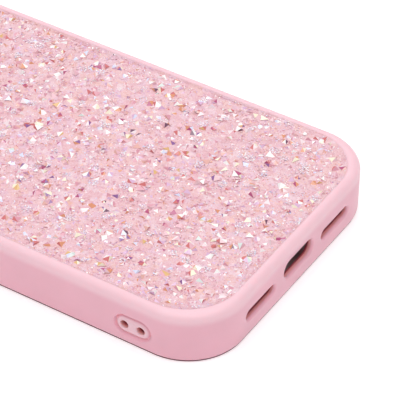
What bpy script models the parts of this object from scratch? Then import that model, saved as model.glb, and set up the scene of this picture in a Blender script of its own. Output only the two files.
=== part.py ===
"""A phone case: a soft bumper frame round a rigid back plate that carries a decorative crystal sheet.

The case lies on its front lip with its back up. +Z points out of the back, +Y to the top of the phone,
and the charging port is in the wall at -Y. The origin is at the middle of the case, on the surface that
the front lip rests on. Lengths are in metres.
"""

import math

import bmesh
import bpy
from mathutils import Matrix

MM = 0.001

# The phone that the case is made for, and the free space round it.
PHONE_WIDTH = 71.5 * MM
PHONE_LENGTH = 146.7 * MM
PHONE_THICKNESS = 7.8 * MM
PHONE_FIT = 0.1 * MM

# The bumper frame.
WALL = 1.95 * MM
CORNER_RADIUS = 14.1 * MM
FRONT_LIP_THICKNESS = 1.5 * MM
FRONT_LIP_OVERHANG = 1.35 * MM
RIM_TOP = 12.8 * MM
RIM_WIDTH = 2.6 * MM
RIM_OUTER_RADIUS = 2.0 * MM
RIM_INNER_RADIUS = 0.55 * MM
FOOT_RADIUS = 1.1 * MM
LIP_RADIUS = 0.4 * MM
PLATE_SLOT_DEPTH = 0.9 * MM

CASE_WIDTH = PHONE_WIDTH + 2 * (PHONE_FIT + WALL)
CASE_LENGTH = PHONE_LENGTH + 2 * (PHONE_FIT + WALL)
POCKET_LOW = FRONT_LIP_THICKNESS
POCKET_HIGH = POCKET_LOW + PHONE_THICKNESS + PHONE_FIT
PHONE_MIDDLE = (POCKET_LOW + POCKET_HIGH) / 2

# The laminated back, from the inside out. LAYER_GAP is the bond line between two layers, and
# EDGE_GAP the clearance round the edges of the layers.
LAYER_GAP = 0.1 * MM
EDGE_GAP = 0.3 * MM
PLATE_THICKNESS = 1.1 * MM
ADHESIVE_THICKNESS = 0.15 * MM
FOIL_THICKNESS = 0.2 * MM
CRYSTAL_THICKNESS = 1.45 * MM
PLATE_LOW = POCKET_HIGH + LAYER_GAP
PLATE_HIGH = PLATE_LOW + PLATE_THICKNESS
PLATE_BOSS = 0.4 * MM
PLATE_SLOT_WALL = WALL - PLATE_SLOT_DEPTH

# The camera opening in the back, and the raised bezel round it.
CAMERA_X = -16.6 * MM
CAMERA_Y = 54.2 * MM
CAMERA_OPENING = 31.0 * MM
CAMERA_CORNER = 7.6 * MM
BEZEL_WALL = 1.4 * MM
BEZEL_SPIGOT_WALL = 0.7 * MM
BEZEL_TOP = 13.8 * MM
BEZEL_EDGE_RADIUS = 0.6 * MM

# The openings in the bottom wall.
PORT_LENGTH = 12.2 * MM
PORT_HEIGHT = 4.3 * MM
PORT_MIDDLE = 6.75 * MM
SPEAKER_SLOT_LENGTH = 11.9 * MM
SPEAKER_SLOT_HEIGHT = 2.5 * MM
SPEAKER_SLOT_OFFSET = 16.15 * MM
SPEAKER_SLOT_MIDDLE = 5.8 * MM

# The lanyard eyelet: a pill-shaped island inside a moulded groove, with two holes through it.
LANYARD_Y = -56.0 * MM
LANYARD_LENGTH = 8.1 * MM
LANYARD_HEIGHT = 4.1 * MM
LANYARD_MIDDLE = 5.2 * MM
LANYARD_GROOVE_WIDTH = 0.8 * MM
LANYARD_GROOVE_DEPTH = 0.6 * MM
LANYARD_HOLE_RADIUS = 1.05 * MM
LANYARD_HOLE_SPACING = 4.25 * MM

# The buttons and the silent-switch opening, measured from the top end of the phone.
POWER_FROM_TOP = 49.0 * MM
VOLUME_UP_FROM_TOP = 42.0 * MM
VOLUME_DOWN_FROM_TOP = 55.5 * MM
SWITCH_FROM_TOP = 28.5 * MM
POWER_LENGTH = 18.0 * MM
VOLUME_LENGTH = 11.2 * MM
BUTTON_HEIGHT = 3.3 * MM
BUTTON_PROUD = 0.45 * MM
BUTTON_EDGE_RADIUS = 0.35 * MM
BUTTON_CLEARANCE = 0.3 * MM
BUTTON_TRAVEL = 0.4 * MM
FLANGE_MARGIN = 0.7 * MM
FLANGE_THICKNESS = 0.4 * MM
FLANGE_STOP_GAP = 0.05 * MM
FLANGE_POCKET_DEPTH = FLANGE_THICKNESS + FLANGE_STOP_GAP + BUTTON_TRAVEL + 0.05 * MM
SWITCH_LENGTH = 11.5 * MM
SWITCH_HEIGHT = 6.0 * MM

# How finely round stretches are divided, in steps for a quarter turn.
CORNER_STEPS = 12
PILL_STEPS = 6
EDGE_STEPS = 5
SMALL_EDGE_STEPS = 2

CUTTER_OVERRUN = 1.0 * MM
WELD_DISTANCE = 0.0000005
SMOOTH_ANGLE = math.radians(30)
EDGE_BEVEL_ANGLE = math.radians(60)

# Each wall's outward direction, as a turn about Z away from -Y.
BOTTOM_WALL = 0.0
LEFT_WALL = -math.pi / 2
RIGHT_WALL = math.pi / 2


def clear_scene():
    for obj in list(bpy.data.objects):
        bpy.data.objects.remove(obj, do_unlink=True)


def new_collection(name):
    collection = bpy.data.collections.new(name)
    bpy.context.scene.collection.children.link(collection)
    return collection


def plastic(name, colour, roughness):
    """A Principled material for one of the moulded or laminated plastics."""
    material = bpy.data.materials.new(name)
    material.use_nodes = True
    shader = material.node_tree.nodes["Principled BSDF"]
    shader.inputs["Base Color"].default_value = (*colour, 1.0)
    shader.inputs["Roughness"].default_value = roughness
    shader.inputs["Metallic"].default_value = 0.0
    return material


def arc(centre, radius, start, end, steps):
    """Points on an arc, both ends included, with the angles in degrees."""
    points = []
    for step in range(steps + 1):
        angle = math.radians(start + (end - start) * step / steps)
        points.append((centre[0] + radius * math.cos(angle), centre[1] + radius * math.sin(angle)))
    return points


def rounded_rectangle(width, length, radius, centre=(0.0, 0.0), steps=CORNER_STEPS):
    """The outline of a rectangle with round corners, anticlockwise."""
    across = width / 2 - radius
    along = length / 2 - radius
    points = []
    for quarter, (sign_x, sign_y) in enumerate(((1, 1), (-1, 1), (-1, -1), (1, -1))):
        corner = (centre[0] + sign_x * across, centre[1] + sign_y * along)
        points += arc(corner, radius, 90 * quarter, 90 * quarter + 90, steps)
    return points


def pill(length, height, steps=PILL_STEPS):
    """The outline of a slot with half-round ends, anticlockwise and centred on the origin."""
    straight = (length - height) / 2
    return arc((straight, 0.0), height / 2, -90, 90, 2 * steps) + arc(
        (-straight, 0.0), height / 2, 90, 270, 2 * steps
    )


def circle(radius, centre, steps=PILL_STEPS):
    return arc(centre, radius, 0, 360, 4 * steps)[:-1]


def poly_curve(name, outlines, dimensions):
    curve = bpy.data.curves.new(name, "CURVE")
    curve.dimensions = dimensions
    for outline in outlines:
        spline = curve.splines.new("POLY")
        spline.points.add(len(outline) - 1)
        for point, (x, y) in zip(spline.points, outline):
            point.co = (x, y, 0.0, 1.0)
        spline.use_cyclic_u = True
    return curve


def add_object(name, data, collection, location=(0, 0, 0), rotation=(0, 0, 0)):
    obj = bpy.data.objects.new(name, data)
    collection.objects.link(obj)
    obj.location = location
    obj.rotation_euler = rotation
    return obj


def as_mesh(curve_object):
    """Replaces a curve object by a welded mesh object, so that it can be cut or can cut."""
    bpy.context.view_layer.update()
    name = curve_object.name
    collection = curve_object.users_collection[0]
    graph = bpy.context.evaluated_depsgraph_get()
    mesh = bpy.data.meshes.new_from_object(curve_object.evaluated_get(graph), depsgraph=graph)
    matrix = curve_object.matrix_world.copy()
    bpy.data.objects.remove(curve_object, do_unlink=True)
    form = bmesh.new()
    form.from_mesh(mesh)
    bmesh.ops.remove_doubles(form, verts=form.verts, dist=WELD_DISTANCE)
    bmesh.ops.recalc_face_normals(form, faces=form.faces)
    form.to_mesh(mesh)
    form.free()
    obj = bpy.data.objects.new(name, mesh)
    obj.name = name
    collection.objects.link(obj)
    obj.matrix_world = matrix
    return obj


def prism(name, outlines, thickness, collection, location=(0, 0, 0), rotation=(0, 0, 0)):
    """A flat solid with these outlines, whose thickness is centred on its own XY plane."""
    curve = poly_curve(name, outlines, "2D")
    curve.fill_mode = "BOTH"
    curve.extrude = thickness / 2
    return as_mesh(add_object(name, curve, collection, location, rotation))


def sweep(name, path, profile, collection, location=(0, 0, 0)):
    """A ring: a closed profile, x inwards and y upwards, carried round a closed path."""
    section = add_object(name + "_section", poly_curve(name + "_section", [profile], "2D"), cutters)
    section.hide_render = True
    curve = poly_curve(name, [path], "2D")
    curve.bevel_mode = "OBJECT"
    curve.bevel_object = section
    curve.fill_mode = "NONE"
    ring = as_mesh(add_object(name, curve, collection, location))
    bpy.data.objects.remove(section, do_unlink=True)
    return ring


def wall_place(wall, along, height, inwards):
    """Location and rotation of a solid whose own Z points out through a wall, inwards from its face."""
    depth = CASE_LENGTH / 2 if wall == BOTTOM_WALL else CASE_WIDTH / 2
    outwards = (math.sin(wall), -math.cos(wall))
    sideways = (abs(math.cos(wall)), abs(math.sin(wall)))
    x = outwards[0] * (depth - inwards) + sideways[0] * along
    y = outwards[1] * (depth - inwards) + sideways[1] * along
    return (x, y, height), (math.pi / 2, 0.0, wall)


def wall_prism(name, outlines, wall, along, height, shallow, deep, collection):
    """A prism through a wall, from one depth under its outer face to another."""
    location, rotation = wall_place(wall, along, height, (shallow + deep) / 2)
    return prism(name, outlines, deep - shallow, collection, location, rotation)


def move_to(obj, collection):
    for old in obj.users_collection:
        old.objects.unlink(obj)
    collection.objects.link(obj)


def boolean(obj, other, operation):
    other.hide_render = True
    other.display_type = "WIRE"
    modifier = obj.modifiers.new(operation.title() + " " + other.name, "BOOLEAN")
    modifier.operation = operation
    modifier.solver = "EXACT"
    modifier.object = other


def shade_smooth(obj):
    obj.data.shade_smooth()
    obj.data.set_sharp_from_angle(angle=SMOOTH_ANGLE)


def frame_profile():
    """The bumper's section: x is the distance inwards from the outer face, y the height."""
    lip_inner = WALL + FRONT_LIP_OVERHANG
    outer_edge = arc(
        (RIM_OUTER_RADIUS, RIM_TOP - RIM_OUTER_RADIUS), RIM_OUTER_RADIUS, 180, 90, EDGE_STEPS
    )
    inner_edge = arc(
        (RIM_WIDTH - RIM_INNER_RADIUS, RIM_TOP - RIM_INNER_RADIUS),
        RIM_INNER_RADIUS, 90, 0, SMALL_EDGE_STEPS + 1,
    )
    lip_top = arc(
        (lip_inner - LIP_RADIUS, POCKET_LOW - LIP_RADIUS), LIP_RADIUS, 90, 0, SMALL_EDGE_STEPS
    )
    lip_bottom = arc((lip_inner - LIP_RADIUS, LIP_RADIUS), LIP_RADIUS, 0, -90, SMALL_EDGE_STEPS)
    foot = arc((FOOT_RADIUS, FOOT_RADIUS), FOOT_RADIUS, 270, 180, EDGE_STEPS)
    plate_slot = [
        (RIM_WIDTH, PLATE_HIGH + LAYER_GAP),
        (PLATE_SLOT_WALL, PLATE_HIGH + LAYER_GAP),
        (PLATE_SLOT_WALL, POCKET_HIGH),
        (WALL, POCKET_HIGH),
        (WALL, POCKET_LOW),
    ]
    return outer_edge + inner_edge + plate_slot + lip_top + lip_bottom + foot


def button_window_cutters(name, wall, along, length):
    """The window for a button's cap and, inside the wall, the pocket that its flange moves in."""
    flange_length = length + 2 * FLANGE_MARGIN
    flange_height = BUTTON_HEIGHT + 2 * FLANGE_MARGIN
    grow = 2 * BUTTON_CLEARANCE
    window = wall_prism(
        name + "_window", [pill(length + grow, BUTTON_HEIGHT + grow)],
        wall, along, PHONE_MIDDLE, -CUTTER_OVERRUN, WALL + CUTTER_OVERRUN, cutters,
    )
    pocket = wall_prism(
        name + "_pocket", [pill(flange_length + grow, flange_height + grow)],
        wall, along, PHONE_MIDDLE, WALL - FLANGE_POCKET_DEPTH, WALL + CUTTER_OVERRUN, cutters,
    )
    return [window, pocket]


def bottom_cutters():
    """The charging port and the two speaker and microphone slots beside it."""
    port = wall_prism(
        "port_cutter", [pill(PORT_LENGTH, PORT_HEIGHT)],
        BOTTOM_WALL, 0.0, PORT_MIDDLE, -CUTTER_OVERRUN, WALL + CUTTER_OVERRUN, cutters,
    )
    slots = [
        wall_prism(
            name, [pill(SPEAKER_SLOT_LENGTH, SPEAKER_SLOT_HEIGHT)],
            BOTTOM_WALL, offset, SPEAKER_SLOT_MIDDLE, -CUTTER_OVERRUN, WALL + CUTTER_OVERRUN, cutters,
        )
        for name, offset in (
            ("left_slot_cutter", -SPEAKER_SLOT_OFFSET),
            ("right_slot_cutter", SPEAKER_SLOT_OFFSET),
        )
    ]
    return [port, *slots]


def lanyard_cutters():
    """The groove round the lanyard island, and the two holes through the wall."""
    grow = 2 * LANYARD_GROOVE_WIDTH
    groove_outlines = [
        pill(LANYARD_LENGTH + grow, LANYARD_HEIGHT + grow),
        pill(LANYARD_LENGTH, LANYARD_HEIGHT),
    ]
    groove = wall_prism(
        "lanyard_groove_cutter", groove_outlines,
        LEFT_WALL, LANYARD_Y, LANYARD_MIDDLE, -CUTTER_OVERRUN, LANYARD_GROOVE_DEPTH, cutters,
    )
    holes = [
        wall_prism(
            name, [circle(LANYARD_HOLE_RADIUS, (0.0, 0.0))],
            LEFT_WALL, LANYARD_Y + offset, LANYARD_MIDDLE,
            -CUTTER_OVERRUN, WALL + CUTTER_OVERRUN, cutters,
        )
        for name, offset in (
            ("lanyard_upper_hole_cutter", LANYARD_HOLE_SPACING / 2),
            ("lanyard_lower_hole_cutter", -LANYARD_HOLE_SPACING / 2),
        )
    ]
    return [groove, *holes]


def make_bumper_frame():
    path = rounded_rectangle(CASE_WIDTH, CASE_LENGTH, CORNER_RADIUS)
    frame = sweep("bumper_frame", path, frame_profile(), case)
    cuts = bottom_cutters() + lanyard_cutters()
    for name, wall, along, length in BUTTONS:
        cuts += button_window_cutters(name, wall, along, length)
    cuts.append(
        wall_prism(
            "switch_cutter", [pill(SWITCH_LENGTH, SWITCH_HEIGHT)],
            RIGHT_WALL, from_top(SWITCH_FROM_TOP), PHONE_MIDDLE,
            -CUTTER_OVERRUN, WALL + CUTTER_OVERRUN, cutters,
        )
    )
    for cut in cuts:
        boolean(frame, cut, "DIFFERENCE")
    frame.data.materials.append(soft_plastic)
    shade_smooth(frame)
    return frame


def from_top(distance):
    """The Y of a point this far below the phone's top end."""
    return PHONE_LENGTH / 2 - distance


def back_layer(name, inset, camera_margin, low, high, material):
    """One flat layer of the back, with its camera opening. inset is measured from the case's outer face."""
    outline = rounded_rectangle(CASE_WIDTH - 2 * inset, CASE_LENGTH - 2 * inset, CORNER_RADIUS - inset)
    opening = rounded_rectangle(
        CAMERA_OPENING + 2 * camera_margin, CAMERA_OPENING + 2 * camera_margin,
        CAMERA_CORNER + camera_margin, (CAMERA_X, CAMERA_Y),
    )
    layer = prism(name, [outline, opening], high - low, case, (0.0, 0.0, (low + high) / 2))
    layer.data.materials.append(material)
    return layer


def make_back_layers():
    """The rigid plate, and the adhesive, foil and crystal sheet laminated to it."""
    plate = back_layer(
        "back_plate", PLATE_SLOT_WALL + EDGE_GAP, BEZEL_SPIGOT_WALL + EDGE_GAP,
        PLATE_LOW, PLATE_HIGH, hard_plastic,
    )
    # The middle of the plate is raised towards the phone, level with the ledge round the pocket.
    boss = back_layer(
        "back_plate_boss", WALL + EDGE_GAP, BEZEL_SPIGOT_WALL + EDGE_GAP,
        POCKET_HIGH, PLATE_LOW + PLATE_BOSS, hard_plastic,
    )
    boolean(plate, boss, "UNION")
    move_to(boss, cutters)
    layers = [plate]
    low = PLATE_HIGH + LAYER_GAP
    for name, thickness, material in (
        ("adhesive_sheet", ADHESIVE_THICKNESS, adhesive),
        ("carrier_foil", FOIL_THICKNESS, foil),
        ("crystal_sheet", CRYSTAL_THICKNESS, crystal),
    ):
        layers.append(
            back_layer(
                name, RIM_WIDTH + EDGE_GAP, BEZEL_WALL + EDGE_GAP,
                low, low + thickness, material,
            )
        )
        low += thickness + LAYER_GAP
    return layers


def make_camera_bezel():
    """The raised ring round the camera opening, stepped so that it sits on the plate and in its hole."""
    size = CAMERA_OPENING + 2 * BEZEL_WALL
    path = rounded_rectangle(size, size, CAMERA_CORNER + BEZEL_WALL)
    step = BEZEL_WALL - BEZEL_SPIGOT_WALL
    shoulder = PLATE_HIGH + LAYER_GAP
    radius = BEZEL_EDGE_RADIUS
    outer_edge = arc((radius, BEZEL_TOP - radius), radius, 180, 90, SMALL_EDGE_STEPS + 1)
    inner_edge = arc((BEZEL_WALL - radius, BEZEL_TOP - radius), radius, 90, 0, SMALL_EDGE_STEPS + 1)
    spigot = [(BEZEL_WALL, PLATE_LOW), (step, PLATE_LOW), (step, shoulder), (0.0, shoulder)]
    bezel = sweep("camera_bezel", path, outer_edge + inner_edge + spigot, case, (CAMERA_X, CAMERA_Y, 0))
    bezel.data.materials.append(soft_plastic)
    shade_smooth(bezel)
    return bezel


def make_button(name, wall, along, length):
    """A cap that stands proud of the wall, on a flange that keeps it from falling out."""
    flange_outer = WALL - FLANGE_POCKET_DEPTH + FLANGE_STOP_GAP
    flange_inner = flange_outer + FLANGE_THICKNESS
    # Both solids take the button's own origin, which is where its axis meets the wall's outer face.
    location, rotation = wall_place(wall, along, PHONE_MIDDLE, 0.0)
    cap_depth = BUTTON_PROUD + flange_inner
    cap = prism(name, [pill(length, BUTTON_HEIGHT)], cap_depth, case, location, rotation)
    cap.data.transform(Matrix.Translation((0.0, 0.0, BUTTON_PROUD - cap_depth / 2)))
    flange_outline = pill(length + 2 * FLANGE_MARGIN, BUTTON_HEIGHT + 2 * FLANGE_MARGIN)
    flange = prism(name + "_flange", [flange_outline], FLANGE_THICKNESS, cutters, location, rotation)
    flange.data.transform(Matrix.Translation((0.0, 0.0, -(flange_outer + flange_inner) / 2)))
    edge = cap.modifiers.new("Rounded edge", "BEVEL")
    edge.width = BUTTON_EDGE_RADIUS
    edge.segments = SMALL_EDGE_STEPS
    edge.limit_method = "ANGLE"
    edge.angle_limit = EDGE_BEVEL_ANGLE
    boolean(cap, flange, "UNION")
    cap.data.materials.append(soft_plastic)
    shade_smooth(cap)
    return cap


clear_scene()
case = new_collection("phone_case")
cutters = new_collection("cutters")
soft_plastic = plastic("soft_pink_plastic", (0.83, 0.47, 0.54), 0.55)
hard_plastic = plastic("clear_pink_plate", (0.86, 0.60, 0.64), 0.15)
adhesive = plastic("adhesive", (0.85, 0.75, 0.75), 0.4)
foil = plastic("pink_foil", (0.87, 0.52, 0.57), 0.3)
crystal = plastic("crystal_resin", (0.88, 0.62, 0.67), 0.1)

BUTTONS = (
    ("power_button", LEFT_WALL, from_top(POWER_FROM_TOP), POWER_LENGTH),
    ("volume_up_button", RIGHT_WALL, from_top(VOLUME_UP_FROM_TOP), VOLUME_LENGTH),
    ("volume_down_button", RIGHT_WALL, from_top(VOLUME_DOWN_FROM_TOP), VOLUME_LENGTH),
)

assembly = bpy.data.objects.new("phone_case_assembly", None)
case.objects.link(assembly)
pieces = [make_bumper_frame(), *make_back_layers(), make_camera_bezel()]
pieces += [make_button(*button) for button in BUTTONS]
for piece in pieces:
    piece.parent = assembly
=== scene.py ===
"""The looks of the phone case: a soft pink bumper round a back covered with granules and pointed stones."""

import math

import bmesh
import bpy
import numpy as np
from mathutils import Matrix, Vector
from mathutils.geometry import delaunay_2d_cdt


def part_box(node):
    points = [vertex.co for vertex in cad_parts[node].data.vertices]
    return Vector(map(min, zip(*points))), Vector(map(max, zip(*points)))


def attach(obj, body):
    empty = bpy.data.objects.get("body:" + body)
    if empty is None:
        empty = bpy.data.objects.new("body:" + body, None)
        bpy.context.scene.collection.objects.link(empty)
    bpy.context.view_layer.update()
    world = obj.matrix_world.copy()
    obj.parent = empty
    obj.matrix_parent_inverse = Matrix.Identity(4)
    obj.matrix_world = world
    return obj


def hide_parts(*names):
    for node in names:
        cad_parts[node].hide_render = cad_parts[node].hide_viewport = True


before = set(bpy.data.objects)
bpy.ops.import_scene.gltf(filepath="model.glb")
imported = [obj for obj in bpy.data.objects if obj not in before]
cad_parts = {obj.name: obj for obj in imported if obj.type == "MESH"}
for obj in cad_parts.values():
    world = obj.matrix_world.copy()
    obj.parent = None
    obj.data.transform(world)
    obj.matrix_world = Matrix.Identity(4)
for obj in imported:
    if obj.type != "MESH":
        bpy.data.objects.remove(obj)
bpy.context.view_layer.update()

MM = 0.001
SEED = 41

# The frame's boxes give the case's outer size and its layers, and these give the rest of its section.
FRAME_LOW, FRAME_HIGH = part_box("bumper_frame")
CASE_WIDTH = FRAME_HIGH.x - FRAME_LOW.x
CASE_LENGTH = FRAME_HIGH.y - FRAME_LOW.y
RIM_TOP = FRAME_HIGH.z
CORNER_RADIUS = 14.1 * MM
WALL = 1.95 * MM
RIM_WIDTH = 2.6 * MM
RIM_OUTER_RADIUS = 2.0 * MM
RIM_INNER_RADIUS = 0.55 * MM
# The rim is wider at the corners, because its inner edge has corners rounder by this much.
RIM_ROUNDING = 1.8 * MM
FOOT_RADIUS = 1.1 * MM
LIP_OVERHANG = 1.35 * MM
LIP_THICKNESS = 1.5 * MM
LIP_RADIUS = 0.5 * MM
POCKET_FOOT_RADIUS = 0.5 * MM
POCKET_TOP_RADIUS = 0.15 * MM
PLATE_SLOT_DEPTH = 0.9 * MM
LAYER_GAP = 0.1 * MM
PLATE_LOW, PLATE_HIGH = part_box("back_plate")
POCKET_HIGH = PLATE_LOW.z
PLATE_SLOT_TOP = PLATE_HIGH.z + LAYER_GAP
PHONE_MIDDLE = (LIP_THICKNESS + POCKET_HIGH) / 2
SHEET_LOW, SHEET_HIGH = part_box("crystal_sheet")

# Openings: length, height, and the radius of the soft lip where each meets the wall.
PORT = (12.2 * MM, 4.3 * MM, 0.75 * MM)
PORT_HEIGHT = 6.75 * MM
SPEAKER_SLOT = (11.9 * MM, 2.5 * MM, 0.75 * MM)
SPEAKER_SLOT_OFFSET = 16.15 * MM
SPEAKER_SLOT_HEIGHT = 5.8 * MM
SWITCH = (11.5 * MM, 6.0 * MM, 0.5 * MM)
SWITCH_Y = 44.85 * MM
# The radius of the lip at an opening's inner end, and the larger one of the port and the slots.
INNER_LIP = 0.2 * MM
INNER_RECESS = 0.7 * MM

# The lanyard eyelet: an island with two holes, whose face falls a little towards a soft groove round it.
LANYARD_ISLAND = (8.1 * MM, 4.1 * MM)
LANYARD_Y = -56.0 * MM
LANYARD_HEIGHT = 5.2 * MM
LANYARD_CROWN_REACH = 1.5 * MM
LANYARD_CROWN_DEPTH = 0.38 * MM
LANYARD_GROOVE_WIDTH = 0.95 * MM
LANYARD_GROOVE_DEPTH = 0.65 * MM
LANYARD_GROOVE_DEEPEST = LANYARD_GROOVE_WIDTH * 0.35
LANYARD_HOLE = 2.05 * MM
LANYARD_HOLE_LIP = 0.32 * MM
LANYARD_HOLE_SPACING = 4.25 * MM

# Button caps: the CAD boxes include the flange, which stands out this far round the cap.
FLANGE_MARGIN = 0.7 * MM
FLANGE_THICKNESS = 0.4 * MM
FLANGE_POCKET = 0.9 * MM
FLANGE_STOP_GAP = 0.05 * MM
BUTTON_CLEARANCE = 0.3 * MM
BUTTON_PROUD = 0.45 * MM
BUTTON_EDGE = 0.4 * MM
# Rings on the cap's flat face, as shares of its half height, that keep its shading even.
BUTTON_FACE_RINGS = (0.55, 0.8, 0.95)
WINDOW_LIP = 0.15 * MM

BEZEL_WALL = 1.4 * MM
BEZEL_SPIGOT_WALL = 0.7 * MM
BEZEL_CORNER = 7.6 * MM
BEZEL_EDGE = 0.6 * MM

CORNER_STEPS = 24
PILL_STEPS = 32
LIP_STEPS = 6
WELD = 1e-7
SMOOTH_ANGLE = math.radians(32)
# A cutter runs this far past each face of the wall, and is this much wider there.
OVERRUN = 1.0 * MM
CUTTER_FLARE = 0.2 * MM
# A lip starts this far outside the wall, so that it meets the wall at a clean angle.
LIP_LIFT = 0.012 * MM

BOTTOM_WALL, LEFT_WALL, RIGHT_WALL = 0.0, -math.pi / 2, math.pi / 2


# ---- shapes ----------------------------------------------------------------------------------------


def arc(centre, radius, start, end, steps):
    """Points on an arc, both ends included, with the angles in degrees."""
    angles = np.radians(np.linspace(start, end, steps + 1))
    return [(centre[0] + radius * math.cos(a), centre[1] + radius * math.sin(a)) for a in angles]


def rounded_rectangle(width, length, radius, centre=(0.0, 0.0)):
    """The outline of a rectangle with round corners, anticlockwise."""
    points = []
    for quarter, (sign_x, sign_y) in enumerate(((1, 1), (-1, 1), (-1, -1), (1, -1))):
        corner = (
            centre[0] + sign_x * (width / 2 - radius),
            centre[1] + sign_y * (length / 2 - radius),
        )
        points += arc(corner, radius, 90 * quarter, 90 * quarter + 90, CORNER_STEPS)
    return points


def pill(length, height):
    """The outline of a slot with half-round ends, anticlockwise."""
    straight = max((length - height) / 2, 10 * WELD)
    right_end = arc((straight, 0.0), height / 2, -90, 90, PILL_STEPS)
    left_end = arc((-straight, 0.0), height / 2, 90, 270, PILL_STEPS)
    return right_end + left_end


def shade_by_angle(mesh):
    """Smooth shading, with sharp edges where the faces turn by more than SMOOTH_ANGLE."""
    mesh.shade_smooth()
    mesh.set_sharp_from_angle(angle=SMOOTH_ANGLE)


def linked(name, data):
    """A new object in the scene that shows this data."""
    obj = bpy.data.objects.new(name, data)
    bpy.context.scene.collection.objects.link(obj)
    return obj


def mesh_object(name, vertices, faces, smooth=True):
    """An object from points and faces, with doubled points welded and the faces turned outwards."""
    mesh = bpy.data.meshes.new(name)
    mesh.from_pydata([tuple(v) for v in vertices], [], faces)
    form = bmesh.new()
    form.from_mesh(mesh)
    bmesh.ops.remove_doubles(form, verts=form.verts, dist=WELD)
    bmesh.ops.recalc_face_normals(form, faces=form.faces)
    form.to_mesh(mesh)
    form.free()
    if smooth:
        shade_by_angle(mesh)
    return linked(name, mesh)


def loft(name, rings, closed=False):
    """A solid through rings of equally many points. A closed loft runs back from the last to the first."""
    count = len(rings[0])
    vertices = [point for ring in rings for point in ring]
    faces = []
    pairs = len(rings) if closed else len(rings) - 1
    for level in range(pairs):
        here = level * count
        there = (level + 1) % len(rings) * count
        for step in range(count):
            after = (step + 1) % count
            faces.append((here + step, here + after, there + after, there + step))
    if not closed:
        faces.append(tuple(range(count))[::-1])
        faces.append(tuple(range((len(rings) - 1) * count, len(rings) * count)))
    return mesh_object(name, vertices, faces)


def ring_sweep(name, width, length, radius, profile, centre=(0.0, 0.0)):
    """A closed profile, x inwards and y upwards, carried round a rounded rectangle.

    A profile point's third number, where there is one, makes the corners rounder there.
    """
    rings = []
    for inwards, height, *rounder in profile:
        corner = radius - inwards + sum(rounder)
        outline = rounded_rectangle(width - 2 * inwards, length - 2 * inwards, corner, centre)
        rings.append([(x, y, height) for x, y in outline])
    return loft(name, rings, closed=True)


def wall_matrix(wall, along, height):
    """Carries a solid's own XY onto a wall's outer face, with its Z pointing outwards."""
    to_face = CASE_LENGTH / 2 if wall == BOTTOM_WALL else CASE_WIDTH / 2
    outwards = Vector((math.sin(wall), -math.cos(wall), 0.0))
    sideways = Vector((abs(math.cos(wall)), abs(math.sin(wall)), 0.0))
    place = outwards * to_face + sideways * along + Vector((0.0, 0.0, height))
    upright = Matrix.Rotation(wall, 4, "Z") @ Matrix.Rotation(math.pi / 2, 4, "X")
    return Matrix.Translation(place) @ upright


def pill_rings(length, height, profile):
    """Rings of a pill that grows by the profile's first number at the depth that its second gives."""
    return [
        [(x, y, -depth) for x, y in pill(length + 2 * grow, height + 2 * grow)]
        for grow, depth in profile
    ]


def lip(radius, depth, outer):
    """A quarter-round flare, as growth and depth, at a tunnel's outer end or its inner one."""
    points = []
    for angle in np.radians(np.linspace(0, 90, LIP_STEPS + 1)):
        grow = radius * (1 - math.sin(angle))
        inset = radius * (1 - math.cos(angle)) - LIP_LIFT
        points.append((grow, depth + inset if outer else depth - inset))
    return points if outer else points[::-1]


def tunnel_cutter(name, wall, along, height, opening, inner_lip=INNER_LIP):
    """Cuts an opening right through a wall, with a soft lip at each face."""
    length, tall, outer_lip = opening
    profile = [(outer_lip + CUTTER_FLARE, -OVERRUN)]
    profile += lip(outer_lip, 0.0, outer=True) + lip(inner_lip, WALL, outer=False)
    profile.append((inner_lip + CUTTER_FLARE, WALL + OVERRUN))
    cutter = loft(name, pill_rings(length, tall, profile))
    cutter.matrix_world = wall_matrix(wall, along, height)
    return cutter


def groove_cutter(name, wall, along, height):
    """The soft groove round the lanyard island, and the crown that the island's face gets."""
    profile = [(-LANYARD_CROWN_REACH, -OVERRUN)]
    for share in np.linspace(0, 1, 6):
        depth = LANYARD_CROWN_DEPTH * share**2 - LIP_LIFT
        profile.append((LANYARD_CROWN_REACH * (share - 1), depth))
    drop = LANYARD_GROOVE_DEPTH - LANYARD_CROWN_DEPTH
    for angle in np.radians(np.linspace(0, 180, 9))[1:]:
        fallen = (1 - math.cos(angle)) / 2
        profile.append((LANYARD_GROOVE_DEEPEST * fallen, LANYARD_CROWN_DEPTH + drop * fallen))
    climb = LANYARD_GROOVE_WIDTH - LANYARD_GROOVE_DEEPEST
    for angle in np.radians(np.linspace(0, 180, 11))[1:]:
        share = angle / math.pi
        depth = LANYARD_GROOVE_DEPTH * (1 + math.cos(angle)) / 2 - LIP_LIFT * share
        profile.append((LANYARD_GROOVE_DEEPEST + climb * share, depth))
    profile.append((LANYARD_GROOVE_WIDTH, -OVERRUN))
    cutter = loft(name, pill_rings(*LANYARD_ISLAND, profile), closed=True)
    cutter.matrix_world = wall_matrix(wall, along, height)
    return cutter


def cut(obj, cutters):
    """Cuts the solids out of obj for good, and removes them."""
    for cutter in cutters:
        modifier = obj.modifiers.new(cutter.name, "BOOLEAN")
        modifier.operation = "DIFFERENCE"
        modifier.solver = "EXACT"
        modifier.object = cutter
    bpy.context.view_layer.update()
    graph = bpy.context.evaluated_depsgraph_get()
    mesh = bpy.data.meshes.new_from_object(obj.evaluated_get(graph), depsgraph=graph)
    obj.modifiers.clear()
    obj.data = mesh
    for cutter in cutters:
        bpy.data.objects.remove(cutter, do_unlink=True)
    shade_by_angle(mesh)


def even_shading(obj):
    """Lets the large flat faces set the shading where they meet small rounded ones."""
    modifier = obj.modifiers.new("Even shading", "WEIGHTED_NORMAL")
    modifier.mode = "FACE_AREA"
    modifier.weight = 50
    modifier.keep_sharp = True


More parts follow.
